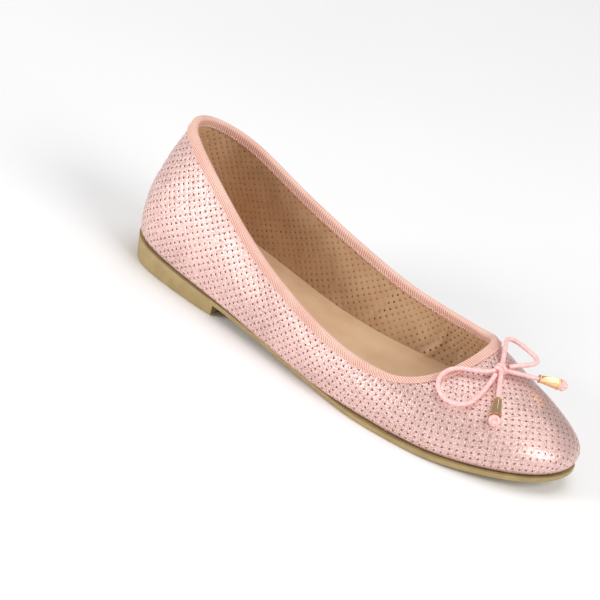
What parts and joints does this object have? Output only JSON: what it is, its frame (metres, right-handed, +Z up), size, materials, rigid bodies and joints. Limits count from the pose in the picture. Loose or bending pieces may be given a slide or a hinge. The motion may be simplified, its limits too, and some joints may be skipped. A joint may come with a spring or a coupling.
{
  "type": "ballet slipper",
  "caption": "Flat slip-on ballet slipper with a perforated leather upper, ribbed topline binding, low heel unit sole and a cord bow with metal tips.",
  "frame": {"origin": "middle of the shoe's box in plan, on the ground it stands on", "axes": "+X from heel to toe, +Y to the medial side, +Z up"},
  "size_m": [0.2526, 0.08, 0.0754],
  "materials": {
    "gum_sole": "matte gum",
    "cork_filler": "raw",
    "shank_steel": "bare",
    "fibre_board": "raw",
    "foam": "open cell",
    "sock_leather": "smooth",
    "foil_leather": "crackled metallic foil",
    "lining_skin": "smooth, perforated",
    "stiffener_sheet": "sheet",
    "woven_tape": "plain weave",
    "ribbed_ribbon": "ribbed, satin sheen",
    "strip_leather": "crackled metallic foil",
    "bow_cord": "rolled, satin",
    "sewing_thread": "twisted",
    "gold_metal": "polished rose gold"
  },
  "bodies": {
    "root": {"outsole": "gum_sole", "bottom_filler": "cork_filler", "shank": "shank_steel", "insole_board": "fibre_board", "sock_foam": "foam", "sock_lining": "sock_leather", "upper": "foil_leather", "lining": "lining_skin", "heel_counter": "stiffener_sheet", "toe_puff": "stiffener_sheet", "topline_tape": "woven_tape", "topline_binding": "ribbed_ribbon", "back_strip": "strip_leather", "bow_knot": "bow_cord", "bow_tack": "sewing_thread"},
    "outer_loop": {"outer_loop": "bow_cord"},
    "inner_loop": {"inner_loop": "bow_cord"},
    "outer_tail": {"outer_tail": "bow_cord", "outer_end_knot": "bow_cord"},
    "inner_tail": {"inner_tail": "bow_cord", "inner_end_knot": "bow_cord"},
    "outer_tip": {"outer_tip": "gold_metal"},
    "inner_tip": {"inner_tip": "gold_metal"}
  },
  "joints": [
    {"name": "outer_loop_lift", "type": "hinge", "parent": "root", "child": "outer_loop", "pos_m": [0.0778, -0.00314, 0.04037], "axis": [-0.9744, 0.2249, 0], "range_deg": [0, 90]},
    {"name": "inner_loop_lift", "type": "hinge", "parent": "root", "child": "inner_loop", "pos_m": [0.0784, 0.00516, 0.04237], "axis": [0.9932, 0.1168, 0], "range_deg": [0, 50]},
    {"name": "outer_tail_lift", "type": "hinge", "parent": "root", "child": "outer_tail", "pos_m": [0.0814, -0.00234, 0.04037], "axis": [-0.822, -0.5679, 0.0411], "range_deg": [0, 85]},
    {"name": "inner_tail_lift", "type": "hinge", "parent": "root", "child": "inner_tail", "pos_m": [0.082, 0.00396, 0.04137], "axis": [0.6451, -0.688, -0.3323], "range_deg": [0, 80]},
    {"name": "outer_tip_slide", "type": "slide", "parent": "outer_tail", "child": "outer_tip", "axis": [-0.4921, 0.7566, 0.4306], "range_m": [0, 0.004]},
    {"name": "inner_tip_slide", "type": "slide", "parent": "inner_tail", "child": "inner_tip", "axis": [-0.7022, -0.7022, 0.117], "range_m": [0, 0.004]}
  ]
}
